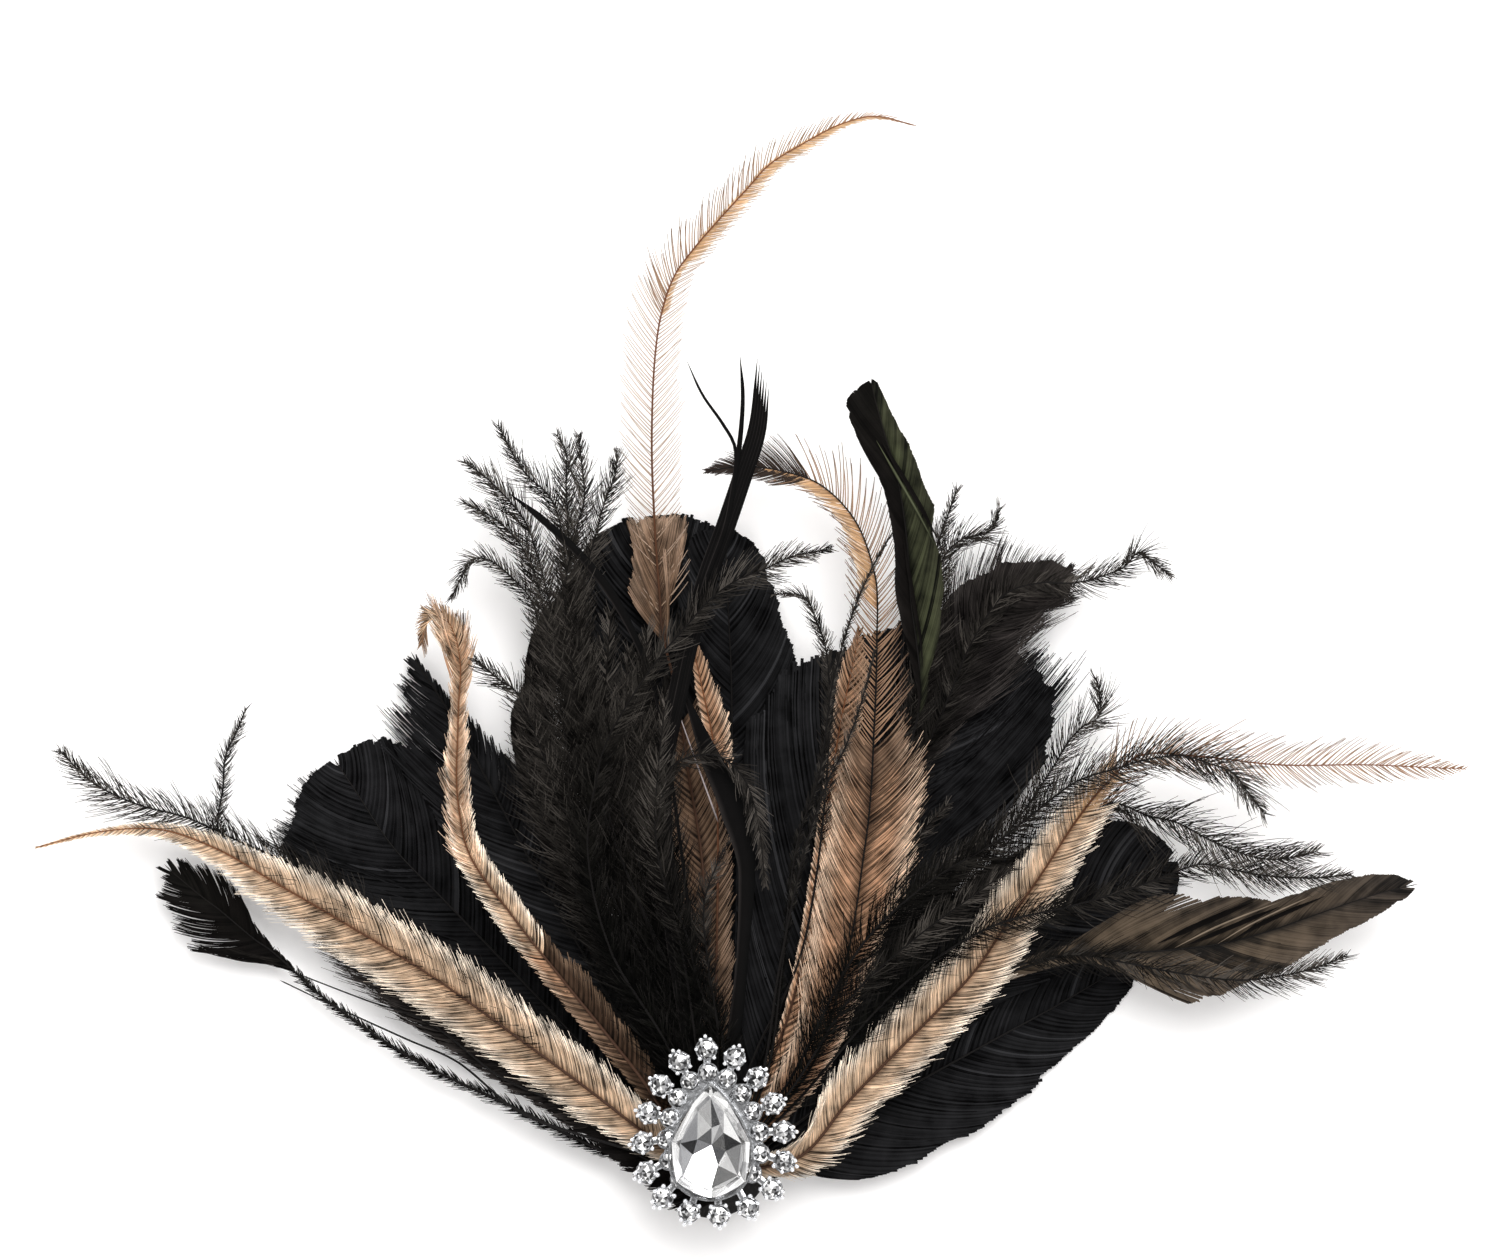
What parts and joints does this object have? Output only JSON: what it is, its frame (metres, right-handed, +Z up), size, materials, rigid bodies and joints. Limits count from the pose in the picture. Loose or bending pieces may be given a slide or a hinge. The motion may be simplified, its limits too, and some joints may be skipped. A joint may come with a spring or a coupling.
{
  "type": "flapper headpiece",
  "caption": "Feather fan headpiece in black and tan plumes on a felt pad, with a pear-cut crystal brooch over the quills and a plain hair clip behind.",
  "frame": {"origin": "centre of the flat underside of the hair clip, under the middle of the brooch", "axes": "+Z up out of the brooch, +Y up the fan towards the tallest plume, +X to the viewer's right; the headpiece lies on its back"},
  "size_m": [0.3101, 0.2455, 0.0275],
  "materials": {
    "steel": "satin plated steel",
    "felt_black": "matt felt",
    "goose_black": "smooth blue-black feather with a faint sheen",
    "tan_plume": "soft tan feather with cream tips and dark shafts",
    "coque_sheen": "glossy green and bronze black feather",
    "biot_black": "satin stiff feather strip",
    "ostrich_black": "matt fluffy strands",
    "silver": "bright silver plating with clear rhinestones",
    "crystal": "clear foiled crystal"
  },
  "bodies": {
    "root": {"hair_clip": "steel", "felt_pad": "felt_black", "fan_left_outer": "goose_black", "fan_left_inner": "goose_black", "fan_centre_left": "goose_black", "fan_centre_right": "goose_black", "fan_right_upper": "goose_black", "fan_right_mid": "goose_black", "fan_right_lower": "goose_black", "fluff_right": "goose_black", "plume_left_long": "tan_plume", "plume_left_curled": "tan_plume", "plume_top_tall": "tan_plume", "plume_centre_narrow": "tan_plume", "plume_right_behind": "tan_plume", "plume_right_upright": "tan_plume", "plume_right_low": "tan_plume", "coque_left_spade": "coque_sheen", "coque_left_under": "coque_sheen", "coque_centre_left": "coque_sheen", "coque_bronze": "coque_sheen", "coque_green": "coque_sheen", "biot_left": "biot_black", "biot_centre_blade": "biot_black", "biot_bundle": "biot_black", "spray_left": "ostrich_black", "spray_middle": "ostrich_black", "spray_top": "ostrich_black", "spray_centre": "ostrich_black", "spray_right_under": "ostrich_black", "spray_right_over": "ostrich_black", "stone_halo": "silver", "pear_stone": "crystal"}
  },
  "joints": []
}
